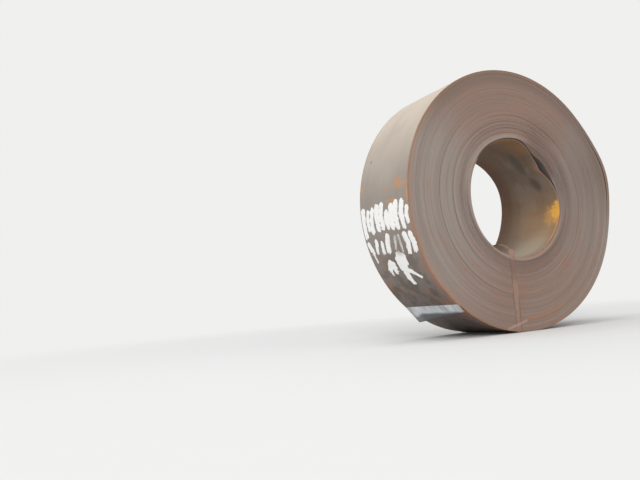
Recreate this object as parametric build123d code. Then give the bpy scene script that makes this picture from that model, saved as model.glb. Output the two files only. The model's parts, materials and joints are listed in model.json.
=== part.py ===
from build123d import *
import os
from math import asin, atan2, cos, degrees, radians, sin

# Steel coil: hot-rolled narrow strip, wound on a 508 mm mandrel, lying on its rim.
# Millimetres. Z is up and Y is the coil's axis, with the near end at -Y. X is to the right.
# The origin is in the middle of the eye, on the axis, halfway across the strip.

# Strip and coil
strip_width = 355.0
strip_thickness = 3.2
eye_radius = 254.0
outer_radius = 560.0

# Turns on the ends: groups of turns that wandered sideways while the coil was wound
turns_per_group = 7
side_wander = 1.6
wander_step = 2.4

# The stretch of rim at the right where the outer turns have sprung out of round, with gaps between them
bulge_height = 25.0
bulge_angle = 12.0
bulge_half_angle = 32.0
bulge_roundness = 1.8
loose_gap_count = 3
loose_gap_spacing = 16.0
loose_gap_half_angle = 22.0

# The strip's outer end, which springs off the turn below it
tail_angle = -131.5
tail_length = 66.0
tail_lift_angle = 6.0

# Steel strap through the eye
strap_width = 32.0
strap_thickness = 0.9
strap_clearance = 0.1
strap_bend_radius = 1.5
strap_offset = -55.0

# Results of the sizes above
turn_count = int((outer_radius - eye_radius) / strip_thickness)
group_count = turn_count // turns_per_group
group_height = turns_per_group * strip_thickness
tail_direction = Vector(cos(radians(tail_angle)), sin(radians(tail_angle)))


def towards(angle):
    """Unit vector at an angle in the coil's outline."""
    return Vector(cos(radians(angle)), sin(radians(angle)))


def bulge_arcs(centre, radius, height):
    """The bulge's three arcs, tangent to each other and to the round outline: flank, crest, flank."""
    half = radians(bulge_half_angle)
    crest_shift = bulge_roundness * height / (1.0 - cos(half))
    flank_shift = (2.0 * crest_shift - height) / (2.0 * (bulge_roundness - 1.0))
    crest_half = degrees(atan2(flank_shift * sin(half), crest_shift + flank_shift * cos(half)))
    flank_span = bulge_half_angle - crest_half
    first_angle = bulge_angle - bulge_half_angle
    last_angle = bulge_angle + bulge_half_angle
    crest_centre = centre + towards(bulge_angle) * crest_shift
    crest_radius = radius + height - crest_shift
    flank_radius = radius + flank_shift
    return [
        CenterArc(centre - towards(first_angle) * flank_shift, flank_radius, first_angle, flank_span),
        CenterArc(crest_centre, crest_radius, bulge_angle - crest_half, 2.0 * crest_half),
        CenterArc(centre - towards(last_angle) * flank_shift, flank_radius, last_angle - flank_span, flank_span),
    ]


def wound_outline():
    """The coil's outside, seen along its axis: two half turns of a spiral, closed by the step at the tail."""
    first_radius = outer_radius - 0.75 * strip_thickness
    second_radius = outer_radius - 0.25 * strip_thickness
    first_centre = tail_direction * -(strip_thickness / 4)
    second_centre = tail_direction * (strip_thickness / 4)
    half_turn = tail_angle + 180.0
    before_bulge = bulge_angle - bulge_half_angle - tail_angle
    after_bulge = half_turn - bulge_angle - bulge_half_angle
    edges = [
        CenterArc(first_centre, first_radius, tail_angle, before_bulge),
        *bulge_arcs(first_centre, first_radius, bulge_height),
        CenterArc(first_centre, first_radius, half_turn - after_bulge, after_bulge),
        CenterArc(second_centre, second_radius, half_turn, 180.0),
        Line(tail_direction * outer_radius, tail_direction * (outer_radius - strip_thickness)),
    ]
    return make_face(edges)


def loose_gap(index):
    """The gap between two groups of sprung turns. Each gap adds its share to the bulge of the turns outside it."""
    radius = outer_radius - loose_gap_spacing * (loose_gap_count - index)
    share = bulge_height / loose_gap_count
    round_side = CenterArc((0, 0), radius, bulge_angle - bulge_half_angle, 2.0 * bulge_half_angle)
    inner_side = bulge_arcs(Vector(0, 0), radius, share * index) if index > 0 else [round_side]
    outer_side = bulge_arcs(Vector(0, 0), radius, share * (index + 1))
    reach = 2 * outer_radius
    corners = [towards(bulge_angle + turn * loose_gap_half_angle) * reach for turn in (-1, 0, 1)]
    wedge = make_face(Polyline((0, 0), *corners, close=True))
    return make_face([*inner_side, *outer_side]) & wedge


def tail_outline():
    """The last stretch of strip beyond the crease, lifted off the turn below."""
    crease_outside = tail_direction * outer_radius
    crease_inside = tail_direction * (outer_radius - strip_thickness)
    along = tail_direction.rotate(Axis.Z, 90 - tail_lift_angle)
    outwards = tail_direction.rotate(Axis.Z, -tail_lift_angle)
    tip_outside = crease_outside + along * tail_length
    tip_inside = tip_outside - outwards * strip_thickness
    return make_face(Polyline(crease_outside, tip_outside, tip_inside, crease_inside, close=True))


def standing(sketch, width):
    """A sketch drawn as X across and Y up, stood upright and made as wide as the strip both ways."""
    upright = Plane.XZ * sketch
    return extrude(upright, amount=width / 2, both=True)


def group_set_back(index):
    """How far a group of turns sits in from the strip's edge line."""
    return side_wander * (1.0 + sin(wander_step * index))


def set_back_ring(index, end):
    """The ring of space at one end that a set-back group of turns leaves."""
    inner = eye_radius + index * group_height
    depth = group_set_back(index if end < 0 else index + group_count)
    ring = Circle(inner + group_height) - Circle(inner)
    cut = extrude(Plane.XZ * ring, amount=depth, both=True)
    return Pos(0, end * strip_width / 2, 0) * cut


def coil():
    """The wound strip as one solid, with its eye and with its turns standing in and out on both ends."""
    blank = standing(wound_outline(), strip_width)
    tail = standing(tail_outline(), strip_width)
    eye = standing(Circle(eye_radius), 2 * strip_width)
    wound = blank + tail - eye
    for index in range(loose_gap_count):
        wound -= standing(loose_gap(index), 2 * strip_width)
    for end in (-1, 1):
        for index in range(1, group_count - 1):
            wound -= set_back_ring(index, end)
    return wound


def strap_section():
    """Half section of the strap: a thin frame round the coil's section, bent over its corners."""
    seat_angle = -90.0 + degrees(asin(strap_offset / outer_radius))
    seat_share = (seat_angle - tail_angle) / 360.0
    inside = eye_radius - strap_clearance
    outside = outer_radius - strip_thickness * (1.0 - seat_share) + strap_clearance
    height = outside - inside
    width = strip_width + 2 * strap_clearance
    hollow = Rectangle(height, width)
    frame = RectangleRounded(height + 2 * strap_thickness, width + 2 * strap_thickness, strap_bend_radius)
    return Pos((outside + inside) / 2, 0) * (frame - hollow)


def eye_strap():
    """The strap: a thin shell turned round the coil's section, of which one upright band is kept."""
    shell = revolve(strap_section(), Axis.Y)
    reach = 2 * outer_radius
    band = Pos(strap_offset, 0, -reach / 2) * Box(strap_width, reach, reach)
    return shell & band


def write(name, shape):
    shape.label = name
    export_step(shape, f"parts/{name}.step")


os.makedirs("parts", exist_ok=True)
write("steel_coil", coil())
write("eye_strap", eye_strap())
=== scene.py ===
import json
import math

import bmesh
import bpy
import numpy as np
from mathutils import Matrix, Vector


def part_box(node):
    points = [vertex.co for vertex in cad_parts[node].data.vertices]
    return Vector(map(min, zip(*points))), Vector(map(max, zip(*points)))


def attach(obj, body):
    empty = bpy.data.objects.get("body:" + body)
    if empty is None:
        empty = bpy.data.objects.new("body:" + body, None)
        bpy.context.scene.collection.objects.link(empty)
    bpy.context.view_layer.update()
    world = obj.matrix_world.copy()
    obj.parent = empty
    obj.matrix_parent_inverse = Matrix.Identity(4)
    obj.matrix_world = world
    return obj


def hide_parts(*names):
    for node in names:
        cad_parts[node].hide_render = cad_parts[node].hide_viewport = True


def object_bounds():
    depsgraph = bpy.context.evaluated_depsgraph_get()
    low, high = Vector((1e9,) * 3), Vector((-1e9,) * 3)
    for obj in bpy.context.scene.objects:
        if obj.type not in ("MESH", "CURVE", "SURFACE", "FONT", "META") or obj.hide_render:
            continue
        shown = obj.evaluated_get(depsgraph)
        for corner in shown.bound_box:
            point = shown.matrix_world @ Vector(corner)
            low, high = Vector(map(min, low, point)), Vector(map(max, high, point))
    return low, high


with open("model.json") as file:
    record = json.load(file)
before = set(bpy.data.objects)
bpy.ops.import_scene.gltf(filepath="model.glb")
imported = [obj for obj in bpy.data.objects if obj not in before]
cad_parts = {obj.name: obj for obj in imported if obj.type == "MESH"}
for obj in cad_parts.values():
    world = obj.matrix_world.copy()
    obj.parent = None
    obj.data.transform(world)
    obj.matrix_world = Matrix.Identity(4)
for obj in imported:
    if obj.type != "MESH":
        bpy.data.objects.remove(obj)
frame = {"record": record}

# A coil of hot-rolled strip lying on its rim, seen from low down at its near end.
# Metres. X is to the right, Y runs along the coil's axis away from the near end, and Z is up.

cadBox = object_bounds()
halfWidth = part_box("steel_coil")[1].y    # half of the strip's width
floorLevel = cadBox[0].z
millimetres = 1000                       # in a metre
eyeRadius = frame["record"]["mounts"][0]["dims"]["r_mm"] / millimetres
print("frame loaded, strip", round(2 * halfWidth, 4), "m wide")


# Shader tools

class Wire:
    # wraps one socket of a shader tree, so that maths on masks reads as plain expressions
    def __init__(self, tree, socket=None):
        self.tree = tree
        self.socket = socket

    def node(self, kind, settings=None, sockets=None, output=0):
        made = self.tree.nodes.new("ShaderNode" + kind)
        for name, value in (settings or {}).items():
            setattr(made, name, value)
        for name, value in (sockets or {}).items():
            if isinstance(value, Wire):
                self.tree.links.new(value.socket, made.inputs[name])
            else:
                made.inputs[name].default_value = value
        return Wire(self.tree, made.outputs[output] if made.outputs else None)

    def other(self, output):
        return Wire(self.tree, self.socket.node.outputs[output])

    def maths(self, operation, first, second):
        return self.node("Math", {"operation": operation}, {0: first, 1: second})

    def __add__(self, other):
        return self.maths("ADD", self, other)

    def __radd__(self, other):
        return self.maths("ADD", other, self)

    def __sub__(self, other):
        return self.maths("SUBTRACT", self, other)

    def __rsub__(self, other):
        return self.maths("SUBTRACT", other, self)

    def __mul__(self, other):
        return self.maths("MULTIPLY", self, other)

    def __rmul__(self, other):
        return self.maths("MULTIPLY", other, self)

    def __truediv__(self, other):
        return self.maths("DIVIDE", self, other)

    def __pow__(self, other):
        return self.maths("POWER", self, other)

    def vector(self, operation, other=(0, 0, 0), output=0):
        return self.node("VectorMath", {"operation": operation}, {0: self, 1: other}, output)

    def rise(self, none, full, last=None, gone=None):
        # 0 at none and 1 at full, smooth between them whichever is higher, and back from last to 0 at gone
        ends = {"Value": self, "From Min": none, "From Max": full}
        mask = self.node("MapRange", {"interpolation_type": "SMOOTHSTEP"}, ends)
        return mask if last is None else mask * self.rise(gone, last)

    def tinted(self, under, over):
        # the colour under where this mask is 0, and the colour over where it is 1
        return self.node("Mix", {"data_type": "RGBA"}, {0: self, 6: under, 7: over}, output=2)

    def noise(self, scale, detail, roughness=0.55):
        sockets = {"Vector": self, "Scale": scale, "Detail": detail, "Roughness": roughness}
        return self.node("TexNoise", sockets=sockets)


def shade(red, green, blue):
    # a colour written as it looks on screen, 0 to 255, as the shader wants it
    def linear(value):
        value /= 255
        return value / 12.92 if value <= 0.04045 else ((value + 0.055) / 1.055) ** 2.4
    return (linear(red), linear(green), linear(blue), 1.0)


def newMaterial(name):
    # an empty material, and the place on the object as the first socket of its tree
    made = bpy.data.materials.new(name)
    made.use_nodes = True
    made.node_tree.nodes.clear()
    return made, Wire(made.node_tree).node("TexCoord", output="Object")


def finishMaterial(material, look, colour, uneven, height=None):
    # puts the Principled shader on the material's output, with a bump if a height is given
    wire = Wire(material.node_tree)
    least, added = look["roughness"]
    sockets = {"Base Color": colour, "Roughness": least + uneven * added, "Metallic": look["metallic"]}
    if height:
        strength, distance = look["bump"]
        bump = {"Height": height, "Strength": strength, "Distance": distance}
        sockets["Normal"] = wire.node("Bump", sockets=bump)
    skin = wire.node("BsdfPrincipled", sockets=sockets)
    wire.node("OutputMaterial", sockets={"Surface": skin})
    return material


def split(place):
    x = place.node("SeparateXYZ", sockets={0: place})
    return x, x.other("Y"), x.other("Z")


def onTurn(radius, angle, y):
    # a point on the coil, at an angle in degrees
    turn = math.radians(angle)
    return Vector((radius * math.cos(turn), y, radius * math.sin(turn)))


def spot(place, centre, reach, edge, wobble=None, waver=1.2):
    # a soft-edged patch round a point on the coil, reach being its half size along X, Y and Z
    offset = place.vector("SUBTRACT", onTurn(*centre))
    far = offset.vector("MULTIPLY", [1 / size for size in reach]).vector("LENGTH", output="Value")
    if wobble:
        far = far + (wobble - 0.5) * waver
    return far.rise(1 + edge, 1 - edge)


def axisDistance(x, z):
    return (x * x + z * z) ** 0.5


def streaks(x, z, level, along, across, detail, roughness=0.55):
    # noise in streaks that follow the turns: its scale along the strip, and across the rings or the strip
    radius = axisDistance(x, z)
    sockets = {0: x / radius * along, 1: z / radius * along, 2: level * across}
    return x.node("CombineXYZ", sockets=sockets).noise(1.0, detail, roughness)


def layer(strength, colour, **spans):
    # one colour of a finish, with the spot or the places and noises that it keeps to
    return {"strength": strength, "colour": shade(*colour), "spans": spans}


def layered(base, layers, places, masks):
    # lays layers over a base colour one by one, each by its spans, and by its own mask if it has one
    for name, one in layers.items():
        mask = masks.get(name, 1)
        for where, span in one["spans"].items():
            mask = mask * (spot(places["place"], *span) if where == "spot" else places[where].rise(*span))
        base = (mask * one["strength"]).tinted(base, one["colour"])
    return base


# The wound strip

strip = {
    "rimRadius": 0.5596,         # outside of the last turn, at the crease
    "fullTurns": 94,
    "headAngle": 138.5,          # degrees, where the strip starts in the eye
    "creaseAngle": -131.5,       # where the outer end springs off
    "seam": 0.00012,             # air between two tight turns
    "sectionsPerTurn": 120,
    "grooveDepth": 0.003,
    "tightGap": 0.0004,          # wider gaps are deeper, by gapSlope times the rest of their width
    "gapSlope": 30,
    "gapDepth": 0.17,            # how deep the widest gaps between turns can be seen
    "openGap": 0.001,            # wider gaps have a floor, and tighter ones only a groove
    "tailNear": 0.044,           # length of the lifted end, at the near edge
    "tailFar": 0.096,
    "tailLift": 6.0,
    "tailParts": 6,
    "ripple": 0.00015,           # slow waves across the last turn
    "rippleRound": 3.1,
    "rippleAcross": 9.0,
    "columns": (0.006, 0.03, 0.1, 0.22, 0.36, 0.5, 0.64, 0.78, 0.9, 0.97, 0.994),
}

sprungRim = {
    "height": 0.025,             # outer turns sprung out of round at the right
    "angle": 12.0,
    "halfAngle": 32.0,
    "roundness": 1.8,
    "middle": 0.75,              # the arcs are drawn this share of a turn inside the rim
    "firstTurn": 35,
    "gapTurn": 90,               # one clear gap lies inside this turn
    "gapShare": 0.2,
}

slackEye = {
    # where inner turns sag into the eye: how far, then round which angle, how far to each side of it, how
    # many turns sag fully and which is the last that sags, and where along the coil it begins and is full
    "sags": (
        (0.021, (28.0, 54.0, 2, 26), (0.12, -0.14)),
        (0.019, (60.0, 23.0, 2, 44), (-0.06, -0.15)),
        (0.014, (-16.0, 50.0, 2, 44), (-0.04, 0.15)),
        (0.009, (-62.0, 105.0, 4, 30), (1.0, 0.9)),
        (0.007, (180.0, 55.0, 5, 20), (1.0, 0.9)),
    ),
    # where the inner turns' edges sit in from the near end, in the same way
    "edgesIn": (
        (0.008, (36.0, 42.0, 2, 12)),
        (0.014, (98.0, 48.0, 2, 3)),
    ),
    "flatRadius": 0.193,         # the innermost turn hangs flat at the near end, this far from the axis
    "flatAngle": 31.0,
    "kinkAngle": 38.5,           # and is kinked here, where it turns back to the wall
    "backSpan": 40.0,
    "flatSpan": 80.0,            # it is flat no further than this to each side
    "slackSpan": 90.0,           # and slack within this much of the kink
    "belly": 0.005,              # it is a little rounder than flat above the kink
    "bellyAngle": 45.0,
    "bellyHalf": 17.0,
    "flatEnds": 0.10,            # it lies on the wall again this far along the coil
    "blend": 0.005,              # how softly it leaves the wall
}

edgeWander = {
    "seed": 11,
    "depth": 0.0018,             # the most that a turn's edge sits in from the end
    "leastLevel": 0.15,
    "jitter": 0.00025,
    "knotsPerTurn": 3,
    # radii where the turns step in or out, in metres
    "steps": (0.286, 0.307, 0.320, 0.336, 0.362, 0.381, 0.404, 0.432, 0.456, 0.480, 0.501, 0.520, 0.541),
    "stepShare": 0.25,           # a step is spread over this share of a turn to each side
    "firstStep": 0.271,          # this step's radius grows towards the right, and shrinks again
    "firstStepRise": 0.025,
    "risesFrom": (-80, 10),
    "fallsFrom": (60, 110),
    "lastStep": (0.541, 0.544),  # on the far end, the turns beyond this don't sit in
}

lastTurn = strip["fullTurns"] + (strip["creaseAngle"] - strip["headAngle"]) % 360 / 360
pitch = (strip["rimRadius"] - eyeRadius) / (lastTurn + 1)


def smooth(value, low, high):
    share = np.clip((value - low) / (high - low), 0, 1)
    return share * share * (3 - 2 * share)


def aside(angle, centre):
    # degrees away from a centre angle, -180 to 180
    return (angle - centre + 180) % 360 - 180


def rimSpring(turn, angle):
    # the outer turns stand out along three arcs: flank, crest, flank
    height = sprungRim["height"]
    half = math.radians(sprungRim["halfAngle"])
    base = strip["rimRadius"] - sprungRim["middle"] * pitch
    crestShift = sprungRim["roundness"] * height / (1 - math.cos(half))
    flankShift = (2 * crestShift - height) / (2 * (sprungRim["roundness"] - 1))
    crestRadius = base + height - crestShift
    flankRadius = base + flankShift
    crestHalf = math.atan2(flankShift * math.sin(half), crestShift + flankShift * math.cos(half))
    join = math.atan2(crestRadius * math.sin(crestHalf), crestShift + crestRadius * math.cos(crestHalf))
    off = np.radians(np.abs(aside(angle, sprungRim["angle"])))
    inside = np.minimum(off, half)
    crest = crestShift * np.cos(inside) + np.sqrt(crestRadius ** 2 - (crestShift * np.sin(inside)) ** 2)
    back = half - inside
    flank = np.sqrt(flankRadius ** 2 - (flankShift * np.sin(back)) ** 2) - flankShift * np.cos(back)
    profile = np.where(off < join, crest, flank) - base
    count = np.round(turn - (sprungRim["angle"] - strip["headAngle"]) / 360)
    share = smooth(count, sprungRim["firstTurn"], sprungRim["gapTurn"]) * (1 - sprungRim["gapShare"])
    share = share + np.where(count >= sprungRim["gapTurn"], sprungRim["gapShare"], 0)
    return profile * share


def hump(angle, centre, half):
    # 1 at a centre angle, falling smoothly to 0 on both sides of it
    return np.cos(np.clip(aside(angle, centre) / half, -1, 1) * math.pi / 2) ** 2


def looseShare(turn, angle, spread):
    # how loose a turn is round one angle: 1 for the first turns, and 0 from the last loose turn on
    centre, half, fullTurns, lastLoose = spread
    count = np.round(turn - (centre - strip["headAngle"]) / 360)
    return (1 - smooth(count, fullTurns, lastLoose)) * hump(angle, centre, half)


def eyeSag(turn, angle, y):
    sag = 0
    for height, spread, along in slackEye["sags"]:
        sag = sag - height * looseShare(turn, angle, spread) * smooth(y, *along)
    return sag


def innerFace(turn, y):
    # radius of the strip's inner face, so many turns from its start in the eye and at a place along the coil
    angle = strip["headAngle"] + 360 * turn
    wall = eyeRadius + pitch * turn + rimSpring(turn, angle) + eyeSag(turn, angle, y)
    kink = slackEye["kinkAngle"]
    away = np.clip(aside(angle, slackEye["flatAngle"]), -slackEye["flatSpan"], slackEye["flatSpan"])
    past = aside(angle, kink)
    flat = slackEye["flatRadius"] / np.cos(np.radians(away))
    kinkRadius = slackEye["flatRadius"] / math.cos(math.radians(kink - slackEye["flatAngle"]))
    back = np.sin(np.clip(-past / slackEye["backSpan"], 0, 1) * math.pi / 2)
    sheet = np.where(past > 0, flat, kinkRadius + (wall - kinkRadius) * back)
    sheet = sheet + slackEye["belly"] * hump(angle, slackEye["bellyAngle"], slackEye["bellyHalf"])
    blend = slackEye["blend"]
    mixed = np.clip(0.5 + 0.5 * (wall - sheet) / blend, 0, 1)
    loose = wall * (1 - mixed) + sheet * mixed - blend * mixed * (1 - mixed)
    drop = (wall - np.minimum(loose, wall)) * smooth(y, slackEye["flatEnds"], -halfWidth)
    return np.where((turn < 1) & (np.abs(past) < slackEye["slackSpan"]), wall - drop, wall)


def edgeSteps(turn, end):
    # how far each turn's edge sits in from the end of the coil
    draw = np.random.default_rng(edgeWander["seed"])
    levels = draw.uniform(edgeWander["leastLevel"], 1, len(edgeWander["steps"]) + 2)
    levels[0] = levels[-1] = 0
    radius = eyeRadius + pitch * turn
    angle = strip["headAngle"] + 360 * turn
    turned = aside(angle, 0)
    rise = smooth(turned, *edgeWander["risesFrom"]) - smooth(turned, *edgeWander["fallsFrom"])
    first = edgeWander["firstStep"] + edgeWander["firstStepRise"] * rise
    beyond = smooth(radius, first, first + pitch)
    level = levels[0] + (levels[1] - levels[0]) * beyond
    spread = pitch * edgeWander["stepShare"]
    for index, step in enumerate(edgeWander["steps"]):
        change = levels[index + 2] - levels[index + 1]
        level = level + change * smooth(radius, step - spread, step + spread)
    knots = draw.uniform(0, 1, int((lastTurn + 2) * edgeWander["knotsPerTurn"]) + 2)
    jitter = np.interp(turn * edgeWander["knotsPerTurn"], np.arange(len(knots)), knots)
    level = level if end < 0 else (1 - level) * beyond * (1 - smooth(radius, *edgeWander["lastStep"]))
    setIn = edgeWander["depth"] * level + edgeWander["jitter"] * jitter
    if end < 0:
        for depth, spread in slackEye["edgesIn"]:
            setIn = setIn + depth * looseShare(turn, angle, spread)
    return setIn


# which of its mesh's materials a face has
slitFace, seamFace, boreFace, rimFace, tailFace = range(5)
plainFace = 0


class Fabric:
    # gathers points and faces for one mesh
    def __init__(self):
        self.points, self.tones, self.faces, self.kinds = [], [], [], []
        self.count = 0

    def add(self, x, y, z, tone=0.5):
        x, y, z, tone = np.broadcast_arrays(x, y, z, tone)
        self.points.append(np.stack([x, y, z], axis=-1).reshape(-1, 3))
        self.tones.append(tone.reshape(-1))
        first = self.count
        self.count += x.size
        return np.arange(first, self.count).reshape(x.shape)

    def join(self, corners, kind, flip=False):
        # faces from arrays of corner numbers, one array for each corner
        rows = np.stack(corners, axis=-1).reshape(-1, len(corners))
        rows = rows[:, ::-1] if flip else rows
        self.faces.extend(rows.tolist())
        self.kinds.extend([kind] * len(rows))

    def sheet(self, grid, kind):
        self.join((grid[:-1, :-1], grid[1:, :-1], grid[1:, 1:], grid[:-1, 1:]), kind)

    def patch(self, one, other, kind, flip=False):
        # a band between two rows of points
        self.join((one[:-1], other[:-1], other[1:], one[1:]), kind, flip)

    def close(self, corners, kind):
        # one face through corners, of which some may be the same point
        numbers = list(dict.fromkeys(int(corner) for corner in corners))
        if len(numbers) > 2:
            self.faces.append(numbers)
            self.kinds.append(kind)

    def mesh(self, name, materials, flatKinds):
        made = bpy.data.meshes.new(name)
        made.from_pydata(np.concatenate(self.points).tolist(), [], self.faces)
        outward = bmesh.new()
        outward.from_mesh(made)
        bmesh.ops.recalc_face_normals(outward, faces=outward.faces)
        outward.to_mesh(made)
        outward.free()
        for material in materials:
            made.materials.append(material)
        kinds = np.array(self.kinds, dtype=np.int32)
        made.polygons.foreach_set("material_index", kinds)
        made.polygons.foreach_set("use_smooth", ~np.isin(kinds, flatKinds))
        tone = made.attributes.new("turnTone", "FLOAT", "POINT")
        tone.data.foreach_set("value", np.concatenate(self.tones).astype(np.float32))
        made.update()
        return made


def addObject(name, data):
    made = bpy.data.objects.new(name, data)
    bpy.context.scene.collection.objects.link(made)
    return made


def addPiece(name, mesh, slot, *nodes):
    piece = addObject(name, mesh)
    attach(piece, "root")
    if nodes:
        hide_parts(*nodes)
    return piece


def turnTones(turn):
    draw = np.random.default_rng(edgeWander["seed"] + 1)
    knots = draw.uniform(0, 1, int(lastTurn + 3))
    return np.interp(turn, np.arange(len(knots)), knots)


def woundStrip(materials):
    # one closed mesh: the edges of all turns with a groove between each two, the eye's wall and the rim
    per = strip["sectionsPerTurn"]
    last = round(lastTurn * per)
    turn = np.arange(last + 1) / per
    angle = np.radians(strip["headAngle"] + 360 * turn)
    thick = pitch - strip["seam"]
    tone = turnTones(turn)
    cosine, sine = np.cos(angle), np.sin(angle)
    fabric = Fabric()
    ends = {}
    for end in (-1, 1):
        flip = end > 0
        level = end * (halfWidth - edgeSteps(turn, end))
        reach = innerFace(turn, level)
        inner = fabric.add(reach * cosine, level, reach * sine, tone)
        gap = reach[per:] - (reach[:-per] + thick)
        reach = reach + thick
        outer = fabric.add(reach * cosine, level, reach * sine, tone)
        fabric.patch(inner, outer, slitFace, flip)
        # the groove between each two turns: low and high are its floor's two sides, and one where it is tight
        extra = np.clip(strip["gapSlope"] * (gap - strip["tightGap"]), 0, strip["gapDepth"])
        floor = level[per:] - end * (strip["grooveDepth"] + extra)
        wide = gap > strip["openGap"]
        below = innerFace(turn[:-per], floor) + thick
        above = innerFace(turn[per:], floor)
        reach = np.where(wide, below, (below + above) / 2)
        low = fabric.add(reach * cosine[per:], floor, reach * sine[per:], tone[per:])
        high = low.copy()
        x, z = above * cosine[per:], above * sine[per:]
        high[wide] = fabric.add(x[wide], floor[wide], z[wide], tone[per:][wide])
        fabric.patch(outer[:-per], low, seamFace, flip)
        fabric.patch(high, inner[per:], seamFace, flip)
        both, opens, closes = wide[:-1] & wide[1:], ~wide[:-1] & wide[1:], wide[:-1] & ~wide[1:]
        fabric.join((low[:-1][both], high[:-1][both], high[1:][both], low[1:][both]), seamFace, flip)
        fabric.join((low[:-1][opens], high[1:][opens], low[1:][opens]), seamFace, flip)
        fabric.join((low[:-1][closes], high[:-1][closes], low[1:][closes]), seamFace, flip)
        ends[end] = {"inner": inner, "outer": outer, "low": low, "high": high, "level": level}
    near, far = ends[-1], ends[1]
    shares = np.array(strip["columns"])

    def wall(corner, part, depth, wave=0.0):
        # the strip's face across its width, between its two edges
        first, last = near["level"][part][:, None], far["level"][part][:, None]
        level = first + (last - first) * shares
        phase = strip["rippleRound"] * angle[part][:, None] + strip["rippleAcross"] * level
        ripple = wave * (1 + np.sin(phase)) * np.sin(math.pi * shares)
        reach = innerFace(turn[part][:, None], level) + depth - ripple
        x, z = reach * cosine[part][:, None], reach * sine[part][:, None]
        middle = fabric.add(x, level, z, tone[part][:, None])
        return np.concatenate([near[corner][part][:, None], middle, far[corner][part][:, None]], axis=1)

    bore = wall("inner", slice(0, per + 1), 0)
    rim = wall("outer", slice(last - per, last + 1), thick, wave=strip["ripple"])
    crease = wall("inner", slice(last, last + 1), 0)
    tailTop, tailUnder = addTail(fabric, rim[-1:], crease, near["level"][-1], far["level"][-1], tone[-1])
    for grid, kind in ((bore, boreFace), (rim, rimFace), (tailTop, tailFace), (tailUnder, boreFace)):
        fabric.sheet(grid, kind)
    for border in (np.s_[:, 0], np.s_[:, -1], np.s_[-1]):
        fabric.patch(tailUnder[border], tailTop[border], slitFace)

    # the strip's cut start in the eye, and the seams that stay open beside its start and its crease
    for corners in (
        [*bore[0], far["outer"][0], near["outer"][0]],
        [near["outer"][0], near["low"][0], far["low"][0], far["outer"][0]],
        [near["low"][0], near["high"][0], far["high"][0], far["low"][0]],
        [near["high"][0], *bore[-1], far["high"][0]],
        [*rim[0], far["low"][-1], near["low"][-1]],
        [near["low"][-1], near["high"][-1], far["high"][-1], far["low"][-1]],
        [near["high"][-1], *crease[0], far["high"][-1]],
    ):
        fabric.close(corners, seamFace)
    return fabric.mesh("woundStrip", materials, flatKinds=[slitFace, seamFace])


def addTail(fabric, rimEnd, crease, low, high, tone):
    # the outer end, straight beyond the crease and lifted off the turn below
    angle = math.radians(strip["creaseAngle"])
    lift = math.radians(strip["tailLift"])
    radius = strip["rimRadius"] - strip["seam"]
    start = (radius * math.cos(angle), radius * math.sin(angle))
    along = (-math.sin(angle - lift), math.cos(angle - lift))
    thickness = pitch - strip["seam"]
    thick = (thickness * math.cos(angle - lift), thickness * math.sin(angle - lift))
    shares = np.array([0, *strip["columns"], 1])
    level = low + (high - low) * shares
    length = strip["tailNear"] + (strip["tailFar"] - strip["tailNear"]) * shares
    parts = np.arange(1, strip["tailParts"] + 1)[:, None] / strip["tailParts"]
    x, z = (start[axis] + along[axis] * length * parts for axis in (0, 1))
    top = fabric.add(x, level + 0 * parts, z, tone)
    under = fabric.add(x - thick[0], level + 0 * parts, z - thick[1], tone)
    return np.vstack([rimEnd, top]), np.vstack([crease, under])


# Finishes of the steel. Each has a base colour and layers that are laid over it in the order given here. A
# layer has its strength, its colour and its spans: where it isn't there yet and where it is full, and then,
# if there are four numbers, where it is last full and where it is gone. A spot is given by its centre, as
# distance from the axis, angle and place along the coil, its half size along X, Y and Z, and its softness.
# Roughness is the least and what a noise adds to it, and bump is its strength and depth.

nearEnd = (0.1, -0.1)            # for marks that show on the near end only

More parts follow.
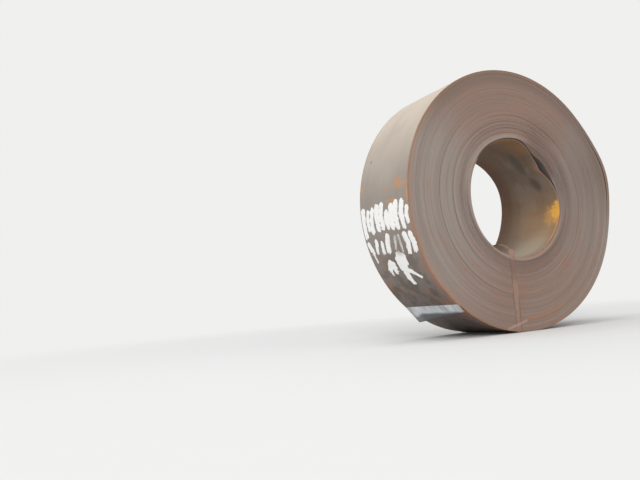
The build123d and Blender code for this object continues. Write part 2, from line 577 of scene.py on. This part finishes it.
faceLook = {
    "roughness": (0.6, 0.2),
    "metallic": 0.1,
    "bump": (0.15, 0.002),
    "base": (shade(146, 118, 105), shade(144, 130, 122)),  # over and under the eye, and at its sides
    "rings": 4,                  # so many of the steps between turns show dark over the eye
    "ringWidth": 0.0016,
    "ringAngle": 96.0,
    "ringSpan": (1.0, 0.1),
    "darkStep": 0.264,           # a dark line of painted shade round the inner turns, low down, where a gap lies beyond them
    "darkStepRise": 0.022,       # and how far out it moves over these angles
    "darkStepTurn": (-110, 10),
    "darkStepWidth": (0.00003, 0.000002),
    "rimRise": 0.014,            # the rim's rust follows the sprung turns at the right
    "loose": ((0.240, 36, -0.17), (0.06, 0.3, 0.06), 0.35),
    "arcRadius": 0.5,
    "arcAngle": -78.0,
    "scuff": ((-0.126, -0.538), (-0.016, -0.510)),
    "scuffWidth": (0.00004, 0.000008),
    "scuffEnds": (-0.006, 0.004),
    "layers": {
        "left": layer(0.6, (160, 150, 142), x=(0.05, -0.5), z=(0.45, 0.2)),
        "lowRight": layer(0.35, (164, 150, 136), lowRight=(0.35, 0.7)),
        "grain": layer(0.42, (122, 102, 92), grain=(0.6, 0.42)),
        "paleTurns": layer(0.16, (172, 158, 146), tone=(0.5, 1.0)),
        "rust": layer(0.35, (164, 108, 84), flakes=(0.52, 0.68)),
        "ringLines": layer(0.6, (96, 76, 66), fine=(0.2, 0.55)),
        "paleRing": layer(0.45, (180, 164, 152)),
        "darkStep": layer(0.5, (96, 80, 74), z=(0.02, -0.12)),
        "beyondStep": layer(0.3, (112, 96, 88), radius=(0.266, 0.272, 0.282, 0.31), z=(-0.02, -0.2)),
        "looseTurns": layer(0.8, (116, 94, 78)),
        "highRim": layer(0.75, (124, 104, 92), radius=(0.465, 0.54), highRight=(0.0, 0.35)),
        "leftRim": layer(0.35, (186, 148, 128), radius=(0.522, 0.552), x=(-0.2, -0.42), z=(0.45, 0.3)),
        "rimRust": layer(0.75, (154, 112, 84), risen=(0.544, 0.556)),
        "paleEye": layer(0.4, (186, 166, 146), radius=(0.248, 0.256, 0.258, 0.268), lowEye=(-0.12, -0.26)),
        "eyeRust": layer(0.7, (172, 116, 78), radius=(0.256, 0.245), lowEye=(-0.12, -0.26)),
        "arc": layer(0.6, (176, 124, 86), offArc=(0.00003, 0.000004), pastArc=(260, 100), y=nearEnd),
        "scuff": layer(0.7, (184, 152, 136)),
    },
}


def scuffMask(x, y, z):
    # a long scuff low on the near end, across the strap
    (startX, startZ), (stopX, stopZ) = faceLook["scuff"]
    length = math.hypot(stopX - startX, stopZ - startZ)
    along = ((x - startX) * (stopX - startX) + (z - startZ) * (stopZ - startZ)) / length
    off = ((x - startX) * (stopZ - startZ) - (z - startZ) * (stopX - startX)) / length
    before, inside = faceLook["scuffEnds"]
    return (along.rise(before, inside, length - inside, length - before)
            * (off * off).rise(*faceLook["scuffWidth"]) * y.rise(*nearEnd))


def slitEdge():
    # the strip's slit edges, which make the rings on both ends
    material, place = newMaterial("slitEdge")
    x, y, z = split(place)
    radius = axisDistance(x, z)
    angle = place.maths("ARCTAN2", z, x)
    tone = place.node("Attribute", {"attribute_name": "turnTone"}, output="Fac")
    fine = streaks(x, z, radius, along=0.7, across=110, detail=4, roughness=0.65)
    broad = streaks(x, z, radius, along=0.5, across=16, detail=2)
    flakes = streaks(x, z, radius, along=2.4, across=90, detail=5)
    cloud = place.noise(4.5, detail=4)
    patchy = place.noise(14, detail=4).rise(0.3, 0.6)
    sides = (cloud * 0.8 + (x * x - z * z) * 2.4).rise(0.2, 0.75)
    # dark lines of painted shade between the turns that stand in and out, over the eye
    lines = 0
    for ring in edgeWander["steps"][:faceLook["rings"]]:
        lines = lines + ((radius - ring) ** 2 / faceLook["ringWidth"] ** 2).rise(1.6, 0.2)
    over = (angle - math.radians(faceLook["ringAngle"])) ** 2
    turn = angle * (180 / math.pi)
    step = faceLook["darkStep"] + turn.rise(*faceLook["darkStepTurn"]) * faceLook["darkStepRise"]
    # a pale ring over the eye, brown where the first turns sit in or hang loose
    pale = radius.rise(0.256, 0.263, 0.270, 0.288) * x.rise(0.14, 0.0) * z.rise(-0.02, 0.12)
    pale = pale + radius.rise(0.262, 0.252) * x.rise(0.1, -0.1) * 0.6
    hanging = spot(place, *faceLook["loose"], wobble=cloud) * radius.rise(0.272, 0.25)
    places = {
        "x": x, "y": y, "z": z, "radius": radius, "tone": tone, "fine": fine,
        "lowRight": x - z + cloud * 0.2,
        "highRight": z + x * 0.4,
        "lowEye": z - x * 0.4,
        "grain": fine * 0.6 + broad * 0.4,
        "flakes": flakes * 0.65 + place.noise(8, detail=3) * 0.35,
        "risen": radius - x.rise(0.2, 0.45) * faceLook["rimRise"],
        "offArc": (radius - faceLook["arcRadius"]) ** 2,
        "pastArc": (turn - faceLook["arcAngle"]) ** 2,
    }
    masks = {
        "rust": 1 + z.rise(0.0, -0.35),
        "ringLines": lines * over.rise(*faceLook["ringSpan"]),
        "paleRing": pale,
        "darkStep": ((step - radius) ** 2).rise(*faceLook["darkStepWidth"]),
        "looseTurns": place.maths("MAXIMUM", hanging, radius.rise(0.264, 0.256) * z.rise(0.1, 0.2)),
        "rimRust": (patchy * 0.6 + 0.4) * (1 - x.rise(0.1, 0.5) * 0.5),
        "eyeRust": patchy * 0.4 + 0.6,
        "arc": patchy + 0.5,
        "scuff": scuffMask(x, y, z),
    }
    base = layered(sides.tinted(*faceLook["base"]), faceLook["layers"], places, masks)
    return finishMaterial(material, faceLook, base, fine, fine)


seamLook = {
    "roughness": (0.75, 0.1),
    "metallic": 0.0,
    "base": shade(80, 72, 66),
    "layers": {
        "lit": layer(1.0, (108, 88, 74), cloud=(0.35, 0.7)),
        # light that comes back from the sheet into the gap behind the innermost turn
        "pocket": layer(0.9, (130, 118, 114), spot=((0.235, 40, 0.03 - halfWidth), (0.09, 0.1, 0.11), 0.3)),
    },
}


def seamShadow():
    # painted shade down between the turns, with dirt and rust
    material, place = newMaterial("seamShadow")
    cloud = place.noise(40, detail=3)
    base = layered(seamLook["base"], seamLook["layers"], {"place": place, "cloud": cloud}, {})
    return finishMaterial(material, seamLook, base, cloud)


boreLook = {
    "roughness": (0.55, 0.25),
    "metallic": 0.1,
    "bump": (0.2, 0.003),
    "scale": (shade(112, 92, 74), shade(142, 124, 106)),
    # painted light: paler colours low down in the eye
    "dust": (shade(142, 130, 116), shade(158, 146, 130)),
    "lowLightStrength": 0.8,
    "dusty": (0.06, -0.22),
    "linesAngle": -14.0,
    "edgeAngle": -24.0,
    "dark": (((0.22, 51, -0.056), (0.05, 0.03, 0.05), 0.5),
             ((0.22, 20, -0.09), (0.05, 0.03, 0.04), 0.5)),
    "red": ((0.192, 42, 0.012 - halfWidth), (0.03, 0.016, 0.03), 0.6),
    "spray": ((0.25, -16, 0.03 - halfWidth), (0.08, 0.062, 0.056), 0.7),
    "core": ((0.25, -13, 0.014 - halfWidth), (0.06, 0.036, 0.042), 0.8),
    "layers": {
        "lit": layer(0.6, (212, 198, 176), spot=((0.25, -64, -0.08), (0.13, 0.10, 0.10), 0.7)),
        "warm": layer(0.45, (206, 166, 122), spot=((0.25, -24, -0.09), (0.12, 0.15, 0.09), 0.8)),
        "inside": layer(0.65, (104, 72, 46), inside=(0.0, 0.2)),
        "deepInside": layer(0.55, (92, 52, 32), deepInside=(0.05, 0.16)),
        "high": layer(0.6, (104, 70, 42), high=(0.17, 0.34)),
        "crown": layer(0.45, (172, 126, 76), crown=(0.18, 0.235), y=(-0.03, -0.15)),
        "dark": layer(0.6, (72, 66, 58)),
        "red": layer(0.7, (176, 118, 100)),
        # rust: drawn out along the coil, sprayed round a fresh patch, along the edge, and bright in the patch
        "lines": layer(0.55, (176, 112, 66), drawn=(0.5, 0.66), besideLines=(900, 80), y=(0.16, -0.06)),
        "spray": layer(0.7, (232, 172, 96), spray=(0.2, 0.8)),
        "dullEdge": layer(0.5, (166, 124, 88), wideEdge=(0.06, 0.01)),
        "edge": layer(0.7, (218, 156, 88), thinEdge=(0.014, 0.004), besideEdge=(900, 300)),
        "core": layer(0.95, (252, 190, 82), core=(0.4, 0.85)),
    },
}


def boreScale():
    # the innermost turn's face: brown scale, painted light low down and in a pool towards the near end, with
    # streaks of rust and one fresh bright patch
    material, place = newMaterial("boreScale")
    x, y, z = split(place)
    turn = place.maths("ARCTAN2", z, x) * (180 / math.pi)
    ringed = streaks(x, z, y, along=0.9, across=26, detail=5, roughness=0.6)
    drawn = streaks(x, z, y, along=26, across=1.4, detail=4)
    cloud = place.noise(7, detail=4)
    grain = place.noise(46, detail=5, roughness=0.7)
    low = (z + cloud * 0.1).rise(*boreLook["dusty"])
    fromEdge = y + halfWidth
    places = {
        "place": place, "y": y, "drawn": drawn,
        "high": z + cloud * 0.12,
        "crown": z + (ringed - 0.5) * 0.05,
        "inside": y + (cloud - 0.5) * 0.12,
        "deepInside": y + (cloud - 0.5) * 0.08,
        "besideLines": (turn - boreLook["linesAngle"]) ** 2,
        "besideEdge": (turn - boreLook["edgeAngle"]) ** 2,
        "wideEdge": fromEdge + (grain - 0.5) * 0.05,
        "thinEdge": fromEdge + (grain - 0.5) * 0.012,
        "spray": spot(place, *boreLook["spray"]) * 0.7 + (grain - 0.5) * 1.2,
        "core": spot(place, *boreLook["core"]) + (grain - 0.5) * 1.4 + (drawn - 0.5) * 1.8,
    }
    masks = {
        "dark": sum(spot(place, *one, wobble=cloud) for one in boreLook["dark"]),
        "red": spot(place, *boreLook["red"], wobble=cloud),
        "dullEdge": low,
    }
    base = (ringed * 0.35 + cloud * 0.65).rise(0.36, 0.62).tinted(*boreLook["scale"])
    dust = (ringed * 0.5 + drawn * 0.5).rise(0.3, 0.7).tinted(*boreLook["dust"])
    base = (low * boreLook["lowLightStrength"]).tinted(base, dust)
    base = layered(base, boreLook["layers"], places, masks)
    return finishMaterial(material, boreLook, base, ringed, ringed * 0.5 + cloud * 0.5)


rimLook = {
    "roughness": (0.42, 0.25),
    "metallic": 0.2,
    "bump": (0.15, 0.003),
    # the base colour by height: painted shade low down, painted light higher up
    "base": (shade(100, 88, 82), shade(158, 147, 138)),
    "edgeRust": (shade(172, 116, 80), shade(160, 128, 106)),
    "edgeStrength": 0.85,
    "patchEdge": 0.8,
    # patches: angle, place across from the near edge, half length across and down
    "fresh": ((171.7, 0.071, 0.026, 0.030), (173.0, 0.030, 0.050, 0.008), (178.6, 0.125, 0.055, 0.010),
              (177.8, 0.006, 0.014, 0.026), (170.0, 0.336, 0.014, 0.016), (172.7, 0.150, 0.020, 0.006)),
    "old": ((216.7, 0.257, 0.016, 0.010), (220.0, 0.203, 0.016, 0.012), (221.3, 0.108, 0.018, 0.012),
            (223.8, 0.090, 0.016, 0.010), (210.4, 0.255, 0.012, 0.010), (204.7, 0.272, 0.022, 0.018)),
    "patchDepth": 0.05,
    "radius": 0.56,
    "scale": {
        # painted light and sheen from above, lighter towards the top
        "dustyTop": layer(1.0, (206, 192, 176), height=(0.0, 0.46)),
        "streaks": layer(0.1, (112, 104, 100), mixed=(0.55, 0.4)),
        # painted shade low down, with some stains
        "stain": layer(0.75, (84, 72, 62), stain=(0.46, 0.62), z=(-0.05, -0.4)),
    },
    "rust": {
        "foot": layer(0.6, (152, 100, 68), rust=(0.53, 0.62), z=(-0.05, -0.4)),
        "fresh": layer(0.8, (196, 146, 104), fresh=(0.2, 0.9)),
        "old": layer(0.5, (148, 108, 82), old=(0.2, 0.9)),
        "scab": layer(0.7, (110, 96, 84), spot=((0.56, 157.8, 0.299 - halfWidth), (0.006,) * 3, 0.5)),
    },
}


def rimScale():
    # the outermost turn's face: smooth mill scale, with painted light on top, painted shade and stains low
    # down, and rusty along both edges
    material, place = newMaterial("rimScale")
    x, y, z = split(place)
    ringed = streaks(x, z, y, along=1.2, across=22, detail=5, roughness=0.6)
    cloud = place.noise(5, detail=5)
    speckle = place.noise(38, detail=5, roughness=0.65)
    places = {
        "place": place, "z": z,
        "height": z + (cloud - 0.5) * 0.25,
        "mixed": ringed * 0.6 + cloud * 0.4,
        "stain": place.noise(16, detail=5),
        "rust": place.noise(11, detail=5) * 0.5 + speckle * 0.5,
    }
    for kind in ("fresh", "old"):
        patches = 0
        for turned, across, *size in rimLook[kind]:
            centre = (rimLook["radius"], turned, across - halfWidth)
            patches = patches + spot(place, centre, (rimLook["patchDepth"], *size), rimLook["patchEdge"])
        places[kind] = patches * 0.8 + (speckle - 0.5) * 1.4
    near = y + halfWidth + (speckle - 0.5) * 0.03
    line = near.rise(0.012, 0.002) * 0.7 + near.rise(0.05, 0.008) * z.rise(0.1, -0.3) * 0.6
    line = (line + y.rise(halfWidth - 0.012, halfWidth - 0.003) * 0.3) * speckle.rise(0.25, 0.6)
    base = places["height"].rise(-0.5, 0.02).tinted(*rimLook["base"])
    base = layered(base, rimLook["scale"], places, {})
    base = (line * rimLook["edgeStrength"]).tinted(base, z.rise(-0.3, 0.25).tinted(*rimLook["edgeRust"]))
    base = layered(base, rimLook["rust"], places, {})
    return finishMaterial(material, rimLook, base, cloud, cloud * 0.5 + ringed * 0.5)


tailLook = {
    "roughness": (0.38, 0.2),
    "metallic": 0.3,
    "bump": (0.1, 0.002),
    # a painted reflection of light on the bent end, then painted shade further out towards its free end
    "bright": (shade(176, 180, 186), shade(226, 230, 232)),
    "tailShade": (shade(78, 75, 80), shade(122, 124, 132)),
    "shadeFrom": (0.034, 0.052),  # distance beyond the crease
    "shadeStrength": 0.9,
    "farEdge": (0.09, 0.16),     # the painted shade starts later, and is weaker, at the far edge
    "farShift": 0.016,
    "layers": {"edges": layer(0.5, (165, 110, 80), edge=(halfWidth - 0.01, halfWidth - 0.002))},
}


def tailSteel():
    # the lifted end, with a painted reflection of light where it bends off, and painted shade towards its
    # free end
    material, place = newMaterial("tailSteel")
    x, y, z = split(place)
    ringed = streaks(x, z, y, along=6.0, across=40, detail=4)
    cloud = place.noise(12, detail=3)
    lift = math.radians(strip["creaseAngle"] - strip["tailLift"])
    crease = onTurn(strip["rimRadius"], strip["creaseAngle"], 0)
    beyond = (z - crease.z) * math.cos(lift) - (x - crease.x) * math.sin(lift)
    far = y.rise(*tailLook["farEdge"])
    # painted shade from a little way beyond the crease
    tailShade = (beyond - far * tailLook["farShift"] + (cloud - 0.5) * 0.02).rise(*tailLook["shadeFrom"])
    base = (ringed * 0.5 + cloud * 0.5).rise(0.36, 0.62).tinted(*tailLook["bright"])
    base = (tailShade * tailLook["shadeStrength"]).tinted(base, far.tinted(*tailLook["tailShade"]))
    base = layered(base, tailLook["layers"], {"edge": (y * y) ** 0.5}, {})
    return finishMaterial(material, tailLook, base, ringed, ringed)


coilMaterials = [slitEdge(), seamShadow(), boreScale(), rimScale(), tailSteel()]
coil = addPiece("woundStrip", woundStrip(coilMaterials), "coil_steel", "steel_coil")
print("wound strip made,", len(coil.data.polygons), "faces")


# The strap, which bows up slack inside the eye

strap = {
    "width": 0.027,
    "thickness": 0.0009,
    "clear": 0.0004,             # between the strap and the ends of the coil
    "rimRadius": 0.5574,         # of the turn that the strap passes under
    "topX": -0.060,              # the strap leans a little on the near end
    "topZ": -0.241,
    "bottomX": -0.064,
    "bottomZ": -0.534,
    "turnRadius": 0.004,
    "margin": 0.01,              # its straight parts start this far from the corners
    "endSteps": 14,
    "rimSteps": 8,
    # the slack bow: place across the width from the near end, and lift off the eye's wall
    "bow": ((0.0, 0.0), (0.0, 0.0040), (0.0036, 0.0160), (0.0106, 0.0290), (0.021, 0.0360), (0.038, 0.0445),
            (0.066, 0.0555), (0.103, 0.0555), (0.160, 0.042), (0.230, 0.021), (0.300, 0.0065),
            (0.350, 0.0015)),
    "bowSteps": 8,
    "colours": (shade(148, 119, 103), shade(162, 133, 117)),
    "layers": {
        "stain": layer(0.45, (146, 104, 84), stain=(0.5, 0.7)),
        "side": layer(0.6, (104, 82, 70), side=(0.006, 0.011), low=(-0.3, -0.44)),
        "upper": layer(0.6, (112, 86, 74), z=(-0.37, -0.3, -0.262, -0.25)),
        "scuff": faceLook["layers"]["scuff"],
    },
    "roughness": (0.45, 0.2),
    "metallic": 0.3,
    "bump": (0.2, 0.0006),
}


def throughPoints(points, steps):
    # a smooth line through the points
    points = [2 * points[0] - points[1], *points, 2 * points[-1] - points[-2]]
    line = []
    for p0, p1, p2, p3 in zip(points, points[1:], points[2:], points[3:]):
        for step in range(steps):
            t = step / steps
            line.append(0.5 * (2 * p1 + (p2 - p0) * t + (2 * p0 - 5 * p1 + 4 * p2 - p3) * t * t
                               + (3 * p1 - 3 * p2 + p3 - p0) * t ** 3))
    return [*line, points[-2]]


def strapX(z):
    # the middle of the strap at a height, which may also be a socket of its material
    lean = (strap["bottomX"] - strap["topX"]) / (strap["bottomZ"] - strap["topZ"])
    return strap["topX"] + lean * (z - strap["topZ"])


def eyeStrap(material):
    # the strap's middle line from the near end through the eye and back under the rim, then its four corners
    end = halfWidth + strap["clear"]
    corner, margin = strap["turnRadius"], strap["margin"]
    x = strap["topX"]
    turned = math.degrees(math.atan2(-math.sqrt(eyeRadius ** 2 - x ** 2), x))
    wallRadius = float(innerFace((turned - strip["headAngle"]) % 360 / 360, 0.0))
    wallZ = -math.sqrt(wallRadius ** 2 - x ** 2)
    rimZ = -math.sqrt(strap["rimRadius"] ** 2 - strap["bottomX"] ** 2) - strap["clear"]
    bow = [np.array([y - end, wallZ + lift]) for y, lift in strap["bow"]]
    bow[-1][0] = end - corner
    far = np.linspace(wallZ - 2 * margin, rimZ + margin, strap["endSteps"])
    far = [wallZ - corner, *far, rimZ + corner / 2]
    under = np.linspace(end - margin, margin - end, strap["rimSteps"])
    under = [end - corner / 2, *under, corner / 2 - end]
    near = [rimZ + corner / 2, *np.linspace(rimZ + margin, wallZ - margin, strap["endSteps"])]
    path = np.array([*throughPoints(bow, strap["bowSteps"]), *[(end, z) for z in far],
                     *[(y, rimZ) for y in under], *[(-end, z) for z in near]])
    tangent = np.roll(path, -1, axis=0) - np.roll(path, 1, axis=0)
    tangent /= np.linalg.norm(tangent, axis=1)[:, None]
    normal = np.stack([-tangent[:, 1], tangent[:, 0]], axis=1)
    fabric = Fabric()
    rings = []
    for side, face in ((-1, 0), (1, 0), (1, 1), (-1, 1)):
        at = path - normal * strap["thickness"] * face
        across = np.array([strapX(z) for z in path[:, 1]]) + side * strap["width"] / 2
        rings.append(fabric.add(across, at[:, 0], at[:, 1]))
    for ring, following in zip(rings, [*rings[1:], rings[0]]):
        fabric.join((ring, following, np.roll(following, -1), np.roll(ring, -1)), plainFace)
    return fabric.mesh("eyeStrap", [material], flatKinds=[plainFace])


def strapSteel():
    material, place = newMaterial("strapSteel")
    x, y, z = split(place)
    speckle = place.noise(60, detail=4)
    stain = place.noise(14, detail=3)
    places = {"z": z, "low": z + stain * 0.1, "side": x - strapX(z), "stain": stain}
    base = speckle.rise(0.3, 0.7).tinted(*strap["colours"])
    base = layered(base, strap["layers"], places, {"scuff": scuffMask(x, y, z)})
    return finishMaterial(material, strap, base, speckle, speckle)


band = addPiece("slackStrap", eyeStrap(strapSteel()), "strap_steel", "eye_strap")
print("strap made,", len(band.data.polygons), "faces")


# The brushed paint marks on the rim: plain strokes that spell nothing

paint = {
    "thickness": 0.0004,
    "sunk": 0.0006,              # the film's underside lies in the steel
    "cell": 2.2,                 # size of the film's mesh, in millimetres
    "margin": 4.0,               # bare steel left along the strip's edges
    "rough": 8.0,                # how ragged the strokes' edges are, in waves of these sizes and shares
    "waves": ((9, 0.6), (4, 0.4)),
    "dry": 16.0,                 # how far the bristles' gaps run into the ends of the strokes,
    "dryFrom": 0.3,              # from which share of the last part
    "bristle": 4.5,              # how wide a bristle's track is
    "bristleShare": 0.45,        # how much of the width still has paint
    "bare": 16.0,                # how far bare patches reach into the strokes
    "bareFrom": 1.2,
    "bareSizes": (14, 5),        # the smaller ones are narrower across by bareSquash
    "bareShare": 0.5,
    "bareSquash": 2.5,
    "least": 0.2,                # keeps slivers out of the mesh
    "border": 0.5,               # keeps the film off the strip's edges
    "seed": 5,
    "noiseCells": 260,           # size of the table of random values, and where in it things begin
    "noiseShift": 20,
    "lanes": 200,
    "laneShift": 100,
    "down": (-40.0, 380.0),      # the part of the rim that is searched for strokes
    # strokes in millimetres: width, then points across from the near edge and down from half height
    "strokes": (
        (34, (334, 2), (340, 54), (337, 104)), (22, (296, 8), (304, 46), (303, 80)),
        (26, (262, 4), (276, 48), (277, 92)), (32, (226, -2), (236, 40), (230, 86)),
        (30, (192, -4), (204, 42), (196, 84)), (28, (160, 30), (168, 60), (160, 86)),
        (34, (122, 12), (136, 52), (128, 90)), (34, (88, 4), (100, 46), (96, 92)),
        (30, (46, 6), (60, 44), (52, 96)), (24, (16, 30), (26, 56), (22, 84)),
        (26, (336, 144), (322, 186)), (12, (322, 184), (317, 222)),
        (24, (276, 138), (288, 182)), (20, (238, 148), (246, 188)),
        (30, (184, 126), (200, 156), (206, 184)), (16, (136, 134), (150, 182)),
        (14, (110, 130), (112, 194)), (30, (68, 132), (60, 168), (72, 202)),
        (30, (30, 136), (22, 170), (28, 198)), (44, (152, 212), (148, 246), (152, 280)),
        (30, (128, 216), (126, 244)), (30, (172, 226), (170, 262)),
        (34, (158, 276), (158, 312)), (24, (160, 306), (150, 340)),
        (20, (136, 276), (80, 317)), (34, (232, 240), (256, 262)),
        (32, (218, 246), (218, 274)), (12, (252, 268), (256, 294)),
    ),
    "colours": (shade(250, 248, 245), shade(255, 254, 252)),
    "layers": {
        "thin": layer(0.4, (214, 206, 196), thin=(0.58, 0.74)),
        "greyRow": layer(0.5, (170, 162, 154),
                         spot=((0.56, 196.5, 0.13 - halfWidth), (0.2, 0.05, 0.045), 0.4)),
    },
    "roughness": (0.6, 0.2),
    "metallic": 0.0,
    "bump": (0.25, 0.0008),
}


def softNoise(across, down, cell, draw):
    # smooth random values on the unrolled rim, from 0 to 1
    rows = draw.uniform(0, 1, (paint["noiseCells"], paint["noiseCells"]))
    u, v = across / cell + paint["noiseShift"], down / cell + paint["noiseShift"]
    i, j = np.floor(u).astype(int), np.floor(v).astype(int)
    s, t = u - i, v - j
    s, t = s * s * (3 - 2 * s), t * t * (3 - 2 * t)
    upper = rows[i, j] * (1 - s) + rows[i + 1, j] * s
    lower = rows[i, j + 1] * (1 - s) + rows[i + 1, j + 1] * s
    return upper * (1 - t) + lower * t


def paintField(across, down):
    # below 0 where there is paint
    draw = np.random.default_rng(paint["seed"])
    field = np.full(across.shape, np.inf)
    for width, *points in paint["strokes"]:
        lane = draw.uniform(0, paint["lanes"])
        for leg, ((a0, d0), (a1, d1)) in enumerate(zip(points, points[1:])):
            run = np.array([a1 - a0, d1 - d0], dtype=float)
            length = np.linalg.norm(run)
            share = np.clip(((across - a0) * run[0] + (down - d0) * run[1]) / length ** 2, 0, 1)
            far = np.hypot(across - a0 - share * run[0], down - d0 - share * run[1])
            side = ((across - a0) * run[1] - (down - d0) * run[0]) / length
            drying = smooth(share, paint["dryFrom"], 1) if leg == len(points) - 2 else 0
            bristles = softNoise(side + paint["laneShift"], lane + 0 * side, paint["bristle"], draw)
            gaps = drying * np.clip(bristles - paint["bristleShare"], 0, 1)
            field = np.minimum(field, far - width / 2 + paint["dry"] * gaps)
    ragged = sum(softNoise(across, down, cell, draw) * share for cell, share in paint["waves"]) - 0.5
    broad, fine = paint["bareSizes"]
    bare = softNoise(across, down, broad, draw)
    bare = bare + paint["bareShare"] * softNoise(across * paint["bareSquash"], down, fine, draw)
    return field + paint["rough"] * ragged + paint["bare"] * np.clip(bare - paint["bareFrom"], 0, 1)


def cutField(field, across, down):
    # faces of the cells where the field is below 0, cut along its zero line, with their corners' places
    numbers, places, faces = {}, [], []

    def number(key, place):
        if key not in numbers:
            numbers[key] = len(places)
            places.append(place)
        return numbers[key]

    lowest = np.minimum(field[:-1], field[1:])
    for i, j in zip(*np.nonzero(np.minimum(lowest[:, :-1], lowest[:, 1:]) < 0)):
        corners = ((i, j), (i + 1, j), (i + 1, j + 1), (i, j + 1))
        face = []
        for start, stop in zip(corners, (*corners[1:], corners[0])):
            f0, f1 = field[start], field[stop]
            if f0 < 0:
                face.append(number(start, (across[start[0]], down[start[1]])))
            if (f0 < 0) != (f1 < 0):
                share = f0 / (f0 - f1)
                place = (across[start[0]] + (across[stop[0]] - across[start[0]]) * share,
                         down[start[1]] + (down[stop[1]] - down[start[1]]) * share)
                face.append(number(tuple(sorted((start, stop))), place))
        faces.append(face)
    return np.array(places), faces


def paintFilm(material):
    # a thin raised film on the last turn
    cell, margin = paint["cell"], paint["margin"]
    across = np.arange(margin, 2 * halfWidth * millimetres - margin, cell)
    down = np.arange(*paint["down"], cell)
    field = paintField(*np.meshgrid(across, down, indexing="ij"))
    field[[0, -1], :] = np.maximum(field[[0, -1], :], paint["border"])
    field = np.where(np.abs(field) < paint["least"], np.copysign(paint["least"], field), field)
    places, faces = cutField(field, across, down)
    across, down = places.T / millimetres
    angle = 180 + np.degrees(down / strip["rimRadius"])
    before = ((strip["creaseAngle"] - angle) % 360) / 360
    steel = strip["rimRadius"] - strip["seam"] - pitch * before
    angle = np.radians(angle)
    fabric = Fabric()
    for depth, turned in ((paint["thickness"], False), (-paint["sunk"], True)):
        reach = steel + depth
        first = fabric.count
        fabric.add(reach * np.cos(angle), across - halfWidth, reach * np.sin(angle))
        for face in faces:
            fabric.close([first + corner for corner in (reversed(face) if turned else face)], plainFace)
    sides = {(a, b) for face in faces for a, b in zip(face, [*face[1:], face[0]])}
    for a, b in sorted(sides):
        if (b, a) not in sides:
            fabric.close([a, a + len(places), b + len(places), b], plainFace)
    return fabric.mesh("tallyPaint", [material], flatKinds=[])


def tallyPaint():
    # matt white paint, thin and dusty in places
    material, place = newMaterial("tallyPaint")
    brush = place.vector("MULTIPLY", (1, 0.5, 1)).noise(90, detail=3)
    thin = place.noise(26, detail=4)
    base = brush.rise(0.3, 0.7).tinted(*paint["colours"])
    masks = {"greyRow": thin.rise(0.4, 0.6) * 0.6 + 1}
    base = layered(base, paint["layers"], {"place": place, "thin": thin}, masks)
    return finishMaterial(material, paint, base, brush, brush)


marks = addPiece("tallyMarks", paintFilm(tallyPaint()), "marking_paint")
print("paint marks made,", len(marks.data.polygons), "faces")


# Floor, light and camera

studio = {
    "floorColour": shade(236, 236, 234),
    "floorCloud": shade(226, 226, 224),
    "cloudStrength": 0.1,
    "floorRoughness": 0.9,
    "backColour": shade(240, 240, 238),
    "lampColour": shade(246, 248, 250),
    "floorSize": 40.0,
    "fade": (1.0, 4.0),          # over these distances the floor goes over into the background
    "worldStrength": 0.6,
    "topLamp": {"at": (-2.6, -0.8, 7.5), "size": (7.0, 7.0), "power": 250},
    "frontLamp": {"at": (-6.5, -9.5, 5.6), "size": (5.0, 5.0), "power": 520},
}


def addFloor():
    half = studio["floorSize"] / 2
    corners = [(x * half, y * half, floorLevel) for x, y in ((-1, -1), (1, -1), (1, 1), (-1, 1))]
    mesh = bpy.data.meshes.new("studioFloor")
    mesh.from_pydata(corners, [], [(0, 1, 2, 3)])
    floor = addObject("studioFloor", mesh)
    material, place = newMaterial("studioFloor")
    far = place.vector("LENGTH", output="Value").rise(*studio["fade"])
    seen = place.node("LightPath", output="Is Camera Ray")
    cloud = place.noise(3, detail=2) * studio["cloudStrength"]
    colour = cloud.tinted(studio["floorColour"], studio["floorCloud"])
    plain = {"Base Color": colour, "Roughness": studio["floorRoughness"]}
    plain = place.node("BsdfPrincipled", sockets=plain)
    glow = place.node("Emission", sockets={"Color": studio["backColour"], "Strength": 1.0})
    both = place.node("MixShader", sockets={0: far * seen, 1: plain, 2: glow})
    place.node("OutputMaterial", sockets={"Surface": both})
    mesh.materials.append(material)


def addWorld():
    world = bpy.data.worlds.new("studioLight")
    bpy.context.scene.world = world
    world.use_nodes = True
    world.node_tree.nodes.clear()
    wire = Wire(world.node_tree)
    seen = wire.node("LightPath", output="Is Camera Ray")
    seen = wire.maths("MAXIMUM", seen, seen.other("Is Glossy Ray"))
    soft = {"Color": studio["lampColour"], "Strength": studio["worldStrength"]}
    soft = wire.node("Background", sockets=soft)
    back = wire.node("Background", sockets={"Color": studio["backColour"], "Strength": 1.0})
    both = wire.node("MixShader", sockets={0: seen, 1: soft, 2: back})
    wire.node("OutputWorld", sockets={"Surface": both})


def addLamp(name):
    # a soft lamp aimed at the middle of the eye
    lamp = studio[name]
    data = bpy.data.lights.new(name, "AREA")
    data.shape = "RECTANGLE"
    data.size, data.size_y = lamp["size"]
    data.energy = lamp["power"]
    made = addObject(name, data)
    made.location = lamp["at"]
    made.rotation_euler = (-made.location).to_track_quat("-Z", "Y").to_euler()


addFloor()
addWorld()
addLamp("topLamp")
addLamp("frontLamp")
print("floor and light made")

viewpoint = {
    "at": (-2.0560, -2.2589, -0.3705),
    "forward": (0.4658, 0.8799, 0.0940),
    "up": (0.0292, -0.1215, 0.9922),
    "lens": 37.62,
    "sensor": 36.0,
}


def addCamera():
    data = bpy.data.cameras.new("camera")
    data.lens = viewpoint["lens"]
    data.sensor_width = viewpoint["sensor"]
    camera = addObject("camera", data)
    forward = Vector(viewpoint["forward"]).normalized()
    right = forward.cross(Vector(viewpoint["up"])).normalized()
    up = right.cross(forward)
    turned = Matrix((right, up, -forward)).transposed().to_4x4()
    camera.matrix_world = Matrix.Translation(viewpoint["at"]) @ turned
    bpy.context.scene.camera = camera


addCamera()
bpy.context.scene.view_settings.view_transform = "Standard"
print("camera placed")
